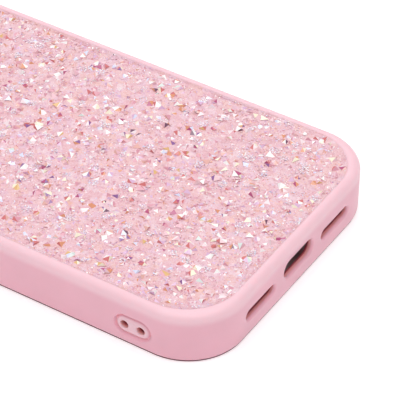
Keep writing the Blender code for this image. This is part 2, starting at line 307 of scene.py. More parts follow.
def bumper_profile():
    """The bumper's section: x inwards, y upwards, and how much rounder the corners are than the wall's."""
    inner = WALL + LIP_OVERHANG
    top = arc((RIM_OUTER_RADIUS, RIM_TOP - RIM_OUTER_RADIUS), RIM_OUTER_RADIUS, 180, 90, 12)
    top += arc((RIM_WIDTH - RIM_INNER_RADIUS, RIM_TOP - RIM_INNER_RADIUS), RIM_INNER_RADIUS, 90, 0, 6)
    top.append((RIM_WIDTH, PLATE_SLOT_TOP))
    rim = [(x, y, RIM_ROUNDING * (x / RIM_WIDTH) ** 2) for x, y in top]
    slot = [(WALL - PLATE_SLOT_DEPTH, PLATE_SLOT_TOP), (WALL - PLATE_SLOT_DEPTH, POCKET_HIGH)]
    pocket_top = (WALL - POCKET_TOP_RADIUS, POCKET_HIGH - POCKET_TOP_RADIUS)
    pocket_foot = (WALL + POCKET_FOOT_RADIUS, LIP_THICKNESS + POCKET_FOOT_RADIUS)
    pocket = arc(pocket_top, POCKET_TOP_RADIUS, 90, 0, 3)
    pocket += arc(pocket_foot, POCKET_FOOT_RADIUS, 180, 270, 5)
    front_lip = arc((inner - LIP_RADIUS, LIP_THICKNESS - LIP_RADIUS), LIP_RADIUS, 90, 0, 6)
    front_lip += arc((inner - LIP_RADIUS, LIP_RADIUS), LIP_RADIUS, 0, -90, 6)
    foot = arc((FOOT_RADIUS, FOOT_RADIUS), FOOT_RADIUS, 270, 180, 8)
    return rim + slot + pocket + front_lip + foot


def button_places():
    """Each button's wall, place along it, and cap length and height, from its CAD box."""
    places = {}
    for node, wall in (
        ("power_button", LEFT_WALL),
        ("volume_up_button", RIGHT_WALL),
        ("volume_down_button", RIGHT_WALL),
    ):
        low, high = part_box(node)
        length = high.y - low.y - 2 * FLANGE_MARGIN
        tall = high.z - low.z - 2 * FLANGE_MARGIN
        places[node] = (wall, (low.y + high.y) / 2, length, tall)
    return places


def make_bumper():
    """The soft frame, with every opening, the lanyard eyelet, and a pocket behind each button."""
    bumper = ring_sweep("bumper", CASE_WIDTH, CASE_LENGTH, CORNER_RADIUS, bumper_profile())
    cutters = [tunnel_cutter("port", BOTTOM_WALL, 0.0, PORT_HEIGHT, PORT, INNER_RECESS)]
    for side in (-1, 1):
        slot_x = side * SPEAKER_SLOT_OFFSET
        cutters.append(
            tunnel_cutter("slot", BOTTOM_WALL, slot_x, SPEAKER_SLOT_HEIGHT, SPEAKER_SLOT, INNER_RECESS)
        )
        hole = (LANYARD_HOLE, LANYARD_HOLE, LANYARD_HOLE_LIP)
        hole_y = LANYARD_Y + side * LANYARD_HOLE_SPACING / 2
        cutters.append(tunnel_cutter("hole", LEFT_WALL, hole_y, LANYARD_HEIGHT, hole))
    cutters.append(groove_cutter("groove", LEFT_WALL, LANYARD_Y, LANYARD_HEIGHT))
    cutters.append(tunnel_cutter("switch", RIGHT_WALL, SWITCH_Y, PHONE_MIDDLE, SWITCH))
    for node, (wall, along, length, tall) in button_places().items():
        grow = 2 * BUTTON_CLEARANCE
        window = (length + grow, tall + grow, WINDOW_LIP)
        cutters.append(tunnel_cutter("window", wall, along, PHONE_MIDDLE, window))
        grow += 2 * FLANGE_MARGIN
        ends = [(0, WALL - FLANGE_POCKET), (0, WALL + OVERRUN)]
        pocket = loft("pocket", pill_rings(length + grow, tall + grow, ends))
        pocket.matrix_world = wall_matrix(wall, along, PHONE_MIDDLE)
        cutters.append(pocket)
    cut(bumper, cutters)
    even_shading(bumper)
    return bumper


def make_button(node, wall, along, length, tall):
    """A cap with a soft edge, on the inner flange that keeps it in."""
    flange_outer = WALL - FLANGE_POCKET + FLANGE_STOP_GAP
    flange_inner = flange_outer + FLANGE_THICKNESS
    profile = [(FLANGE_MARGIN, flange_inner), (FLANGE_MARGIN, flange_outer), (0.0, flange_outer)]
    for angle in np.radians(np.linspace(0, 80, 8)):
        depth = -BUTTON_PROUD + BUTTON_EDGE * (1 - math.sin(angle))
        profile.append((-BUTTON_EDGE * (1 - math.cos(angle)), depth))
    for share in BUTTON_FACE_RINGS:
        profile.append((-tall / 2 * share, -BUTTON_PROUD))
    button = loft(node + "_cap", pill_rings(length, tall, profile))
    button.matrix_world = wall_matrix(wall, along, PHONE_MIDDLE)
    even_shading(button)
    return button


def bezel_outline():
    """The bezel's width, length, outer corner radius and middle."""
    low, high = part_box("camera_bezel")
    middle = ((low.x + high.x) / 2, (low.y + high.y) / 2)
    return high.x - low.x, high.y - low.y, BEZEL_CORNER + BEZEL_WALL, middle


def make_bezel():
    """The raised ring round the camera opening, with a thinner spigot down through the plate."""
    low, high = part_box("camera_bezel")
    step = BEZEL_WALL - BEZEL_SPIGOT_WALL
    profile = arc((BEZEL_EDGE, high.z - BEZEL_EDGE), BEZEL_EDGE, 180, 90, 8)
    profile += arc((BEZEL_WALL - BEZEL_EDGE, high.z - BEZEL_EDGE), BEZEL_EDGE, 90, 0, 8)
    profile += [(BEZEL_WALL, low.z), (step, low.z), (step, PLATE_SLOT_TOP), (0.0, PLATE_SLOT_TOP)]
    width, length, radius, middle = bezel_outline()
    bezel = ring_sweep("bezel", width, length, radius, profile, middle)
    even_shading(bezel)
    return bezel


# ---- the granules and stones -----------------------------------------------------------------------

BED_TOP = SHEET_HIGH.z - 0.4 * MM
# The resin climbs a little where it meets the rim and the bezel.
BED_EDGE_TOP = SHEET_HIGH.z - 0.05 * MM
BED_CLIMB_REACH = 0.8 * MM
BED_INSET = RIM_WIDTH - 0.2 * MM
HOLE_MARGIN = 0.05 * MM
PANEL_INSET = RIM_WIDTH - 0.05 * MM

BED_SPACING = 1.5 * MM
STONE_SPACING = 2.1 * MM
CHIP_SPACING = 0.78 * MM
GLITTER_SPACING = 0.44 * MM
CLUSTER_SPACING = 7.6 * MM
# A hexagonal grid's rows lie closer together than its points, by this factor.
ROW_FACTOR = 0.866

# What the random draws range over. The radii, the lifts and the unevenness are in millimetres.
BED_UNEVENNESS = (-0.14, 0.16)
CLUSTER_SHARE = 0.8
CLUSTER_RADII = (0.6, 1.4)
STONE_RADII = (0.65, 1.15)
STONE_STEEPNESS = (0.28, 0.44)
STONE_LIFTS = (-0.14, 0.0)
STONE_LEAN = math.radians(10)
# How often a stone has three, four, five or six sides.
STONE_SIDES = {3: 0.35, 4: 0.4, 5: 0.15, 6: 0.1}
IRIDESCENT_SHARE = 0.42
IRIDESCENT_WIDER = 1.2
IRIDESCENT_TALLER = 1.3
IRIDESCENT_LIFT = 0.08
CHIP_RADII = (0.2, 0.42)
CHIP_LIFT = 0.04
GLITTER_RADII = (0.18, 0.34)
GLITTER_LIFT = 0.2
CHIP_STEEPNESS = 0.4
CHIP_LEAN = math.radians(28)
EDGE_ROOM = 0.1 * MM


def srgb(red, green, blue):
    """A linear colour from an ordinary 8-bit one."""
    values = np.array([red, green, blue]) / 255
    return tuple(np.where(values <= 0.04045, values / 12.92, ((values + 0.055) / 1.055) ** 2.4))


# Each facet takes one of these: name, colour, share on plain stones, share on iridescent stones, and
# share in a cluster of glitter. White facets are painted glints, and the strong colours from gold to violet
# are painted reflections of the iridescent coating.
FACETS = (
    ("pink", srgb(225, 176, 188), 24, 8, 4),
    ("rose", srgb(218, 154, 170), 16, 7, 2),
    ("peach", srgb(229, 178, 170), 15, 9, 1),
    ("blush", srgb(232, 194, 201), 18, 8, 10),
    ("mauve", srgb(220, 181, 212), 14, 8, 16),
    ("pale", srgb(241, 221, 226), 14, 10, 22),
    ("white", srgb(250, 248, 247), 8, 17, 26),
    ("ice", srgb(224, 227, 250), 5, 4, 20),
    ("mint", srgb(218, 230, 226), 0, 1, 1),
    ("cream", srgb(248, 240, 216), 0, 8, 0),
    ("gold", srgb(226, 184, 130), 0, 3, 0),
    ("orange", srgb(222, 152, 120), 1, 7, 0),
    ("coral", srgb(211, 120, 122), 1, 8, 0),
    ("magenta", srgb(184, 90, 130), 0, 4, 0),
    ("violet", srgb(148, 104, 160), 0, 3, 0),
    ("plum", srgb(122, 84, 108), 0, 1, 1),
)
PLAIN, IRIDESCENT, BRIGHT = 2, 3, 4


def facet_shares(column):
    """How often each row of FACETS is drawn, from one of its columns of shares."""
    shares = np.array([row[column] for row in FACETS], float)
    return shares / shares.sum()


def outline_distance(x, y, centre, width, length, radius):
    """How far outside a rounded rectangle each point is, negative inside."""
    across = np.abs(x - centre[0]) - (width / 2 - radius)
    along = np.abs(y - centre[1]) - (length / 2 - radius)
    outside = np.hypot(np.maximum(across, 0), np.maximum(along, 0))
    return outside + np.minimum(np.maximum(across, along), 0) - radius


def panel_margin(points):
    """How far inside the stone-covered panel each point is: from the rim, and from the bezel."""
    rim = -outline_distance(
        points[:, 0], points[:, 1], (0, 0),
        CASE_WIDTH - 2 * PANEL_INSET, CASE_LENGTH - 2 * PANEL_INSET,
        CORNER_RADIUS - PANEL_INSET + RIM_ROUNDING,
    )
    width, length, radius, middle = bezel_outline()
    bezel = outline_distance(points[:, 0], points[:, 1], middle, width, length, radius)
    return np.minimum(rim, bezel)


def bed_height(points):
    """The mean height of the resin at each point, which rises near the panel's edges."""
    share = np.clip(1 - panel_margin(points) / BED_CLIMB_REACH, 0, 1)
    return BED_TOP + (BED_EDGE_TOP - BED_TOP) * share


def scattered(random, spacing, jitter):
    """Points over the panel on a hexagonal grid, each moved at random."""
    rows = int(CASE_LENGTH / (spacing * ROW_FACTOR)) + 2
    columns = int(CASE_WIDTH / spacing) + 2
    column, row = np.meshgrid(np.arange(columns), np.arange(rows))
    x = (column + 0.5 * (row % 2) - columns / 2) * spacing
    y = (row - rows / 2) * spacing * ROW_FACTOR
    points = np.stack([x.ravel(), y.ravel()], axis=1)
    return points + random.uniform(-jitter, jitter, points.shape) * spacing


def turned(random, count, tilt):
    """Rotation matrices: a random turn about Z, then a lean of up to tilt radians."""
    spin = random.uniform(0, 2 * math.pi, count)
    lean = tilt * np.sqrt(random.uniform(0, 1, count))
    towards = random.uniform(0, 2 * math.pi, count)
    cos_s, sin_s = np.cos(spin), np.sin(spin)
    zero, one = np.zeros(count), np.ones(count)
    about_z = np.array([[cos_s, -sin_s, zero], [sin_s, cos_s, zero], [zero, zero, one]])
    x, y = np.cos(towards), np.sin(towards)
    cos_l, sin_l = np.cos(lean), np.sin(lean)
    leaning = np.array([
        [cos_l + x * x * (1 - cos_l), x * y * (1 - cos_l), y * sin_l],
        [x * y * (1 - cos_l), cos_l + y * y * (1 - cos_l), -x * sin_l],
        [-y * sin_l, x * sin_l, cos_l],
    ])
    return np.einsum("ijn,jkn->nik", leaning, about_z)


def stone_template(sides):
    """A pointed stone: an apex, a girdle, and a short foot, as unit-size points and triangles."""
    angles = np.arange(sides) * 2 * math.pi / sides
    girdle = np.stack([np.cos(angles), np.sin(angles), np.zeros(sides)], axis=1)
    points = np.concatenate([girdle, [[0, 0, 1.0], [0, 0, -1.0]]])
    after = (np.arange(sides) + 1) % sides
    crown = np.stack([np.arange(sides), after, np.full(sides, sides)], axis=1)
    foot = np.stack([after, np.arange(sides), np.full(sides, sides + 1)], axis=1)
    return points, np.concatenate([crown, foot])


def scatter_solids(random, centres, template, sizes, heights, roughness, slant, tilt):
    """Many copies of a template, each jittered, slanted, stretched, turned and placed."""
    points, triangles = template
    count = len(centres)
    shape = points[None] + random.uniform(-1, 1, (count, *points.shape)) * roughness
    shape[:, -2, :2] += random.uniform(-slant, slant, (count, 2))
    scale = np.stack([sizes, sizes * random.uniform(0.7, 1.0, count), heights], axis=1)
    shape = np.einsum("nij,nkj->nki", turned(random, count, tilt), shape * scale[:, None])
    shape += centres[:, None]
    indices = triangles[None] + (np.arange(count) * len(points))[:, None, None]
    return shape.reshape(-1, 3), indices.reshape(-1, 3)


def solids_mesh(name, batches, materials):
    """One object from batches of (points, triangles, a material index for each triangle)."""
    points, triangles, indices, offset = [], [], [], 0
    for batch_points, batch_triangles, batch_indices in batches:
        points.append(batch_points)
        triangles.append(batch_triangles + offset)
        indices.append(batch_indices)
        offset += len(batch_points)
    points, triangles, indices = map(np.concatenate, (points, triangles, indices))
    mesh = bpy.data.meshes.new(name)
    mesh.vertices.add(len(points))
    mesh.vertices.foreach_set("co", points.astype(np.float32).ravel())
    mesh.loops.add(triangles.size)
    mesh.loops.foreach_set("vertex_index", triangles.astype(np.int32).ravel())
    mesh.polygons.add(len(triangles))
    mesh.polygons.foreach_set("loop_start", np.arange(0, triangles.size, 3, dtype=np.int32))
    for material in materials:
        mesh.materials.append(material)
    mesh.polygons.foreach_set("material_index", indices.astype(np.int32))
    mesh.update(calc_edges=True)
    mesh.validate()
    mesh.shade_flat()
    return linked(name, mesh)


def near(points, others, reach):
    """Whether each point lies within reach of one of the others."""
    cell = float(np.max(reach))
    grid = {}
    for index, key in enumerate(map(tuple, np.floor(others[:, :2] / cell).astype(int))):
        grid.setdefault(key, []).append(index)
    reach = np.broadcast_to(reach, len(others))
    close = np.zeros(len(points), bool)
    for index, (x, y) in enumerate(points[:, :2]):
        column, row = math.floor(x / cell), math.floor(y / cell)
        found = [
            other
            for i in (-1, 0, 1)
            for j in (-1, 0, 1)
            for other in grid.get((column + i, row + j), ())
        ]
        if found:
            distance = np.hypot(others[found, 0] - x, others[found, 1] - y)
            close[index] = bool(np.any(distance < reach[found]))
    return close


def make_crystals(facet_materials):
    """The larger pointed stones, and the fine granules and glitter between them."""
    random = np.random.default_rng(SEED)

    clusters = scattered(random, CLUSTER_SPACING, 0.45)
    clusters = clusters[random.uniform(size=len(clusters)) < CLUSTER_SHARE]
    cluster_sizes = random.uniform(*CLUSTER_RADII, len(clusters)) * MM

    stones = scattered(random, STONE_SPACING, 0.35)
    radius = random.uniform(*STONE_RADII, len(stones)) * MM
    kept = (panel_margin(stones) > radius * 0.6) & ~near(stones, clusters, cluster_sizes)
    stones, radius = stones[kept], radius[kept]
    iridescent = random.uniform(size=len(stones)) < IRIDESCENT_SHARE
    radius = np.where(iridescent, radius * IRIDESCENT_WIDER, radius)
    taller = np.where(iridescent, IRIDESCENT_TALLER, 1.0)
    height = radius * taller * random.uniform(*STONE_STEEPNESS, len(stones))
    lift = random.uniform(*STONE_LIFTS, len(stones)) + np.where(iridescent, IRIDESCENT_LIFT, 0.0)
    centres = np.column_stack([stones, bed_height(stones) + lift * MM])

    stone_batches = []
    sides_of = random.choice(list(STONE_SIDES), len(stones), p=list(STONE_SIDES.values()))
    for sides in STONE_SIDES:
        for column, chosen in ((PLAIN, ~iridescent), (IRIDESCENT, iridescent)):
            here = (sides_of == sides) & chosen
            points, triangles = scatter_solids(
                random, centres[here], stone_template(sides), radius[here], height[here],
                roughness=0.08, slant=0.55, tilt=STONE_LEAN,
            )
            indices = random.choice(len(FACETS), len(triangles), p=facet_shares(column))
            stone_batches.append((points, triangles, indices))
    stones_object = solids_mesh("stones", stone_batches, facet_materials)

    chips = scattered(random, CHIP_SPACING, 0.4)
    kept = (panel_margin(chips) > EDGE_ROOM) & ~near(chips, stones, radius * 0.75)
    chips = chips[kept & ~near(chips, clusters, cluster_sizes)]
    glitter = scattered(random, GLITTER_SPACING, 0.4)
    kept = (panel_margin(glitter) > EDGE_ROOM) & near(glitter, clusters, cluster_sizes)
    glitter = glitter[kept]
    chip_batches = []
    for column, places, radii, lift in (
        (PLAIN, chips, CHIP_RADII, CHIP_LIFT),
        (BRIGHT, glitter, GLITTER_RADII, GLITTER_LIFT),
    ):
        size = random.uniform(*radii, len(places)) * MM
        heights = bed_height(places) + random.uniform(0.0, lift, len(places)) * MM
        points, triangles = scatter_solids(
            random, np.column_stack([places, heights]), stone_template(4), size, size * CHIP_STEEPNESS,
            roughness=0.25, slant=0.2, tilt=CHIP_LEAN,
        )
        indices = random.choice(len(FACETS), len(triangles), p=facet_shares(column))
        chip_batches.append((points, triangles, indices))
    granules = solids_mesh("granules", chip_batches, facet_materials)
    return stones_object, granules


def make_bed():
    """The resin that the stones sit in, from the foil up, with an uneven faceted top."""
    outer = rounded_rectangle(
        CASE_WIDTH - 2 * BED_INSET, CASE_LENGTH - 2 * BED_INSET,
        CORNER_RADIUS - BED_INSET + RIM_ROUNDING,
    )
    width, length, radius, middle = bezel_outline()
    inner = rounded_rectangle(
        width + 2 * HOLE_MARGIN, length + 2 * HOLE_MARGIN, radius + HOLE_MARGIN, middle
    )
    random = np.random.default_rng(SEED + 1)
    inside = scattered(random, BED_SPACING, 0.32)
    inside = inside[panel_margin(inside) > BED_SPACING * 0.4]
    edges = [(i, (i + 1) % len(outer)) for i in range(len(outer))]
    edges += [(len(outer) + i, len(outer) + (i + 1) % len(inner)) for i in range(len(inner))]
    flat = [Vector(place) for place in (*outer, *inner, *inside.tolist())]
    places, _, triangles, *_ = delaunay_2d_cdt(flat, edges, [], 0, WELD)
    places = np.array(places)
    room = panel_margin(np.array([places[list(triangle)].mean(axis=0) for triangle in triangles]))
    lap = PANEL_INSET - BED_INSET
    triangles = [triangle for triangle, inwards in zip(triangles, room) if inwards > -lap]

    heights = bed_height(places) + random.uniform(*BED_UNEVENNESS, len(places)) * MM
    heights[: len(edges)] = BED_EDGE_TOP
    form = bmesh.new()
    corners = [form.verts.new((*place, height)) for place, height in zip(places, heights)]
    top = [form.faces.new([corners[i] for i in triangle]) for triangle in triangles]
    swept = bmesh.ops.extrude_face_region(form, geom=top)["geom"]
    for corner in swept:
        if isinstance(corner, bmesh.types.BMVert):
            corner.co.z = SHEET_LOW.z
    bmesh.ops.delete(form, geom=[v for v in form.verts if not v.link_faces], context="VERTS")
    bmesh.ops.recalc_face_normals(form, faces=form.faces)
    mesh = bpy.data.meshes.new("resin_bed")
    form.to_mesh(mesh)
    form.free()
    mesh.shade_flat()
    return linked("resin_bed", mesh)


# ---- materials -------------------------------------------------------------------------------------


def new_material(name, **sockets):
    """A material, its node tree and its shader, with the named sockets set."""
    material = bpy.data.materials.new(name)
    material.use_nodes = True
    shader = material.node_tree.nodes["Principled BSDF"]
    for socket, value in sockets.items():
        shader.inputs[socket.replace("_", " ")].default_value = value
    return material, material.node_tree, shader


def noise(tree, size, detail=3.0, roughness=0.5):
    """A noise with features of about this size, in metres, in the object's own coordinates."""
    place = tree.nodes.new("ShaderNodeTexCoord")
    texture = tree.nodes.new("ShaderNodeTexNoise")
    texture.inputs["Scale"].default_value = 1 / size
    texture.inputs["Detail"].default_value = detail
    texture.inputs["Roughness"].default_value = roughness
    tree.links.new(place.outputs["Object"], texture.inputs["Vector"])
    return texture.outputs["Fac"]


def colour_ramp(tree, value, stops):
    """A value turned into a colour, through stops of (value, colour)."""
    ramp = tree.nodes.new("ShaderNodeValToRGB")
    elements = ramp.color_ramp.elements
    while len(elements) < len(stops):
        elements.new(0.5)
    for element, (place, colour) in zip(elements, stops):
        element.position = place
        element.color = (*colour, 1.0)
    tree.links.new(value, ramp.inputs["Fac"])
    return ramp.outputs["Color"]


def ranged(tree, value, low, high):
    """Maps a noise's 0.3 to 0.7 to low to high."""
    node = tree.nodes.new("ShaderNodeMapRange")
    for socket, number in (("From Min", 0.3), ("From Max", 0.7), ("To Min", low), ("To Max", high)):
        node.inputs[socket].default_value = number
    tree.links.new(value, node.inputs["Value"])
    return node.outputs["Result"]


def bump(tree, shader, value, depth, strength):
    """Fine relief of this depth on the shader's surface."""
    node = tree.nodes.new("ShaderNodeBump")
    node.inputs["Distance"].default_value = depth
    node.inputs["Strength"].default_value = strength
    tree.links.new(value, node.inputs["Height"])
    tree.links.new(node.outputs["Normal"], shader.inputs["Normal"])


def scaled(colour, factor):
    """A colour made lighter or darker."""
    return tuple(min(1.0, channel * factor) for channel in colour)


SOFT_PINK = (0.875, 0.455, 0.55)
# Painted highlight: the rim and its shoulder are paler, for the overhead light that falls on the top of the
# case.
RIM_HIGHLIGHT_PINK = (0.895, 0.57, 0.64)
SHOULDER_HIGHLIGHT_PINK = (0.95, 0.605, 0.68)
# Painted light and shade in the openings: peach for the lit walls of the lanyard holes, salmon for light
# come through the soft wall, and maroon for the shade deep inside.
LIT_HOLE_PEACH = (1.0, 0.62, 0.56)
THROUGH_LIGHT_SALMON = (1.0, 0.45, 0.46)
DEEP_SHADE_MAROON = (0.62, 0.12, 0.16)
# The heights over which the walls' pink turns into the shoulder's painted highlight, and that into the
# rim's.
SHOULDER_HIGHLIGHT_HEIGHTS = (RIM_TOP - 3.1 * MM, RIM_TOP - 1.1 * MM)
RIM_HIGHLIGHT_HEIGHTS = (RIM_TOP - 1.5 * MM, RIM_TOP - 0.2 * MM)
# The depths into the walls over which the painted light and shade turn: in the lanyard holes to peach, and
# in all openings to salmon and then to maroon shade.
LIT_HOLE_DEPTHS = (0.25 * MM, 0.6 * MM)
THROUGH_LIGHT_DEPTHS = (0.4 * MM, 0.9 * MM)
DEEP_SHADE_DEPTHS = (1.1 * MM, 1.35 * MM)
# The painted reddening fades in and out over these heights, clear of the front lip and of the back plate.
OPENINGS_FROM = (1.8 * MM, 2.4 * MM)
OPENINGS_TO = (9.4 * MM, 9.2 * MM)


def soft_plastic(name, colour):
    """Matt moulded elastomer: cloudy by a few percent, with a fine satin grain."""
    material, tree, shader = new_material(
        name, Subsurface_Weight=0.2, Subsurface_Radius=(0.9, 0.35, 0.35), Subsurface_Scale=1.0 * MM,
        Specular_IOR_Level=0.65, Sheen_Weight=0.15, Sheen_Roughness=0.4,
    )
    cloud = noise(tree, 9 * MM, detail=4.0)
    shade = colour_ramp(tree, cloud, ((0.3, scaled(colour, 0.97)), (0.7, scaled(colour, 1.025))))
    tree.links.new(shade, shader.inputs["Base Color"])
    grain = noise(tree, 0.22 * MM, detail=4.0, roughness=0.6)
    tree.links.new(ranged(tree, grain, 0.42, 0.58), shader.inputs["Roughness"])
    bump(tree, shader, grain, depth=0.012 * MM, strength=0.5)
    return material


def vector_math(tree, operation, vector, other=None):
    """Vector arithmetic on a socket and, where the operation takes two, a fixed vector."""
    node = tree.nodes.new("ShaderNodeVectorMath")
    node.operation = operation
    tree.links.new(vector, node.inputs[0])
    if other is not None:
        node.inputs[1].default_value = other
    return node.outputs["Value" if operation == "LENGTH" else "Vector"]


def smooth_step(tree, value, start, end):
    """Goes smoothly from 0 at start to 1 at end, whichever of the two is larger."""
    node = tree.nodes.new("ShaderNodeMapRange")
    node.interpolation_type = "SMOOTHSTEP"
    falling = end < start
    for socket, number in (
        ("From Min", min(start, end)), ("From Max", max(start, end)),
        ("To Min", float(falling)), ("To Max", float(not falling)),
    ):
        node.inputs[socket].default_value = number
    tree.links.new(value, node.inputs["Value"])
    return node.outputs["Result"]


def scalar_math(tree, operation, first, second):
    """Arithmetic on two sockets or numbers."""
    node = tree.nodes.new("ShaderNodeMath")
    node.operation = operation
    for socket, value in zip(node.inputs, (first, second)):
        if isinstance(value, float):
            socket.default_value = value
        else:
            tree.links.new(value, socket)
    return node.outputs["Value"]


def distance_beyond(tree, place, half_sizes):
    """How far a place, in the object's own coordinates, lies outside a box about the origin."""
    beyond = vector_math(tree, "SUBTRACT", vector_math(tree, "ABSOLUTE", place), half_sizes)
    return vector_math(tree, "LENGTH", vector_math(tree, "MAXIMUM", beyond, (0.0, 0.0, 0.0)))


def overlay(tree, shader, share, colour):
    """Mixes a socket's colour over the shader's base colour."""
    mix = tree.nodes.new("ShaderNodeMixRGB")
    tree.links.new(share, mix.inputs["Fac"])
    tree.links.new(shader.inputs["Base Color"].links[0].from_socket, mix.inputs["Color1"])
    tree.links.new(colour, mix.inputs["Color2"])
    tree.links.new(mix.outputs["Color"], shader.inputs["Base Color"])


def shade_bumper(material):
    """Painted highlights make the rim and lanyard island paler, and painted light reddens the openings as
    by light through the soft wall, with painted shade deep inside.
    """
    tree = material.node_tree
    shader = tree.nodes["Principled BSDF"]
    place = tree.nodes.new("ShaderNodeTexCoord").outputs["Object"]
    separate = tree.nodes.new("ShaderNodeSeparateXYZ")
    tree.links.new(place, separate.inputs["Vector"])
    height = separate.outputs["Z"]
    # Painted highlight: the wall's pink turns paler up the shoulder, and paler still on the rim.
    upwards = smooth_step(tree, height, *RIM_HIGHLIGHT_HEIGHTS)
    paler = colour_ramp(tree, upwards, ((0.0, SHOULDER_HIGHLIGHT_PINK), (1.0, RIM_HIGHLIGHT_PINK)))
    overlay(tree, shader, smooth_step(tree, height, *SHOULDER_HIGHLIGHT_HEIGHTS), paler)

    # The case's outer face is CORNER_RADIUS away from this box, and depth is measured inwards from it.
    core = (CASE_WIDTH / 2 - CORNER_RADIUS, CASE_LENGTH / 2 - CORNER_RADIUS, 1.0)
    flat = vector_math(tree, "MULTIPLY", place, (1.0, 1.0, 0.0))
    depth = scalar_math(tree, "SUBTRACT", CORNER_RADIUS, distance_beyond(tree, flat, core))

    # Painted highlight: the lanyard island takes the rim's paler pink, and its holes a peach painted as
    # their lit walls.
    length, tall = LANYARD_ISLAND
    on_wall = vector_math(tree, "SUBTRACT", place, (-CASE_WIDTH / 2, LANYARD_Y, LANYARD_HEIGHT))
    from_middle = distance_beyond(tree, on_wall, (0.0, (length - tall) / 2, 0.0))
    on_island = smooth_step(tree, from_middle, tall / 2 + 0.1 * MM, tall / 2 - 0.3 * MM)
    into_hole = smooth_step(tree, depth, *LIT_HOLE_DEPTHS)
    overlay(tree, shader, on_island, colour_ramp(tree, into_hole, ((0.0, RIM_HIGHLIGHT_PINK), (1.0, LIT_HOLE_PEACH))))

    # Painted light and shade: the openings turn salmon, then maroon deeper in. The wall's inner face keeps
    # its pink.
    in_opening = smooth_step(tree, depth, *THROUGH_LIGHT_DEPTHS)
    for limit in (
        smooth_step(tree, depth, WALL, WALL - 0.03 * MM),
        smooth_step(tree, height, *OPENINGS_FROM),
        smooth_step(tree, height, *OPENINGS_TO),
    ):
        in_opening = scalar_math(tree, "MULTIPLY", in_opening, limit)
    inwards = smooth_step(tree, depth, *DEEP_SHADE_DEPTHS)
    overlay(tree, shader, in_opening, colour_ramp(tree, inwards, ((0.0, THROUGH_LIGHT_SALMON), (1.0, DEEP_SHADE_MAROON))))


def resin(name):
    """The bed under the granules: a patchwork of pink, peach and lilac facets in cloudy resin."""
    material, tree, shader = new_material(name, Coat_Weight=0.4, Coat_Roughness=0.08)
    place = tree.nodes.new("ShaderNodeTexCoord")
    cells = tree.nodes.new("ShaderNodeTexVoronoi")
    cells.inputs["Scale"].default_value = 1 / (1.7 * MM)
    cells.inputs["Randomness"].default_value = 1.0
    tree.links.new(place.outputs["Object"], cells.inputs["Vector"])
    channels = tree.nodes.new("ShaderNodeSeparateColor")
    tree.links.new(cells.outputs["Color"], channels.inputs["Color"])
    patches = colour_ramp(tree, channels.outputs["Red"], (
        (0.0, srgb(219, 160, 172)), (0.25, srgb(223, 174, 183)), (0.45, srgb(228, 178, 169)),
        (0.62, srgb(229, 190, 196)), (0.8, srgb(219, 177, 201)), (1.0, srgb(236, 212, 217)),
    ))
    fine = noise(tree, 0.42 * MM, detail=4.0, roughness=0.7)
    cloud = colour_ramp(tree, fine, ((0.38, srgb(213, 155, 166)), (0.62, srgb(236, 202, 210))))
    mix = tree.nodes.new("ShaderNodeMixRGB")
    mix.inputs["Fac"].default_value = 0.5
    tree.links.new(patches, mix.inputs["Color1"])
    tree.links.new(cloud, mix.inputs["Color2"])
    tree.links.new(mix.outputs["Color"], shader.inputs["Base Color"])
    tree.links.new(ranged(tree, fine, 0.2, 0.5), shader.inputs["Roughness"])
    bump(tree, shader, fine, depth=0.05 * MM, strength=0.5)
    return material


# A facet gives off this much of its own colour, a painted glow that stands for the light that comes back up
# through the stones.
STONE_PAINTED_GLOW = 0.07


def facet_material(name, colour):
    """A polished facet, whose polish varies a little from place to place, with a faint painted glow of its
    own colour.
    """
    material, tree, shader = new_material(
        name, Base_Color=(*colour, 1.0), IOR=1.5, Coat_Weight=0.3, Coat_Roughness=0.05,
        Emission_Color=(*colour, 1.0), Emission_Strength=STONE_PAINTED_GLOW,
    )
    polish = noise(tree, 1.5 * MM, detail=2.0)
    tree.links.new(ranged(tree, polish, 0.08, 0.24), shader.inputs["Roughness"])
    return material


def clear_plate(name):
    """The smooth tinted plate that faces the phone, with faint flow marks and hairline wear."""
    material, tree, shader = new_material(name, Coat_Weight=0.5, Coat_Roughness=0.08)
    flow = noise(tree, 14 * MM)
    stops = ((0.3, srgb(232, 178, 188)), (0.7, srgb(242, 196, 204)))
    tree.links.new(colour_ramp(tree, flow, stops), shader.inputs["Base Color"])
    fine = noise(tree, 0.5 * MM, detail=5.0, roughness=0.7)
    tree.links.new(ranged(tree, fine, 0.22, 0.4), shader.inputs["Roughness"])
    bump(tree, shader, fine, depth=0.01 * MM, strength=0.4)
    return material


def film(name, dark, light, metallic):
    """A thin satin sheet with a fine crumple."""
    material, tree, shader = new_material(name, Metallic=metallic)
    crumple = noise(tree, 1.2 * MM, detail=5.0, roughness=0.7)
    tree.links.new(colour_ramp(tree, crumple, ((0.3, dark), (0.7, light))), shader.inputs["Base Color"])
    tree.links.new(ranged(tree, crumple, 0.25, 0.45), shader.inputs["Roughness"])
    bump(tree, shader, crumple, depth=0.05 * MM, strength=0.5)
    return material


def paint(obj, material):
    """Gives the whole object this one material."""
    obj.data.materials.clear()
    obj.data.materials.append(material)


# ---- camera, light and floor -----------------------------------------------------------------------

VIEW_AZIMUTH = math.radians(-58.182)
VIEW_ELEVATION = math.radians(39.489)
VIEW_ROLL = math.radians(0.919)
VIEW_DISTANCE = 527.9 * MM
VIEW_TARGET = Vector((7.098, -44.835, 5.0)) * MM
LENS = 206.3
SENSOR = 36.0
WORLD_LIGHT = 0.35
FLOOR_SIZE = 6.0
FLOOR_CORNER = 0.5
FLOOR_DROP = 0.1 * MM
FLOOR_GLOW = 0.4
# How far inside the case's outline the floor's painted dark shadow begins, and where the painted grey shade
# under the case's middle begins.
FLOOR_SHADE_INSET = 0.42 * MM
FLOOR_INSIDE_INSET = 3.0 * MM


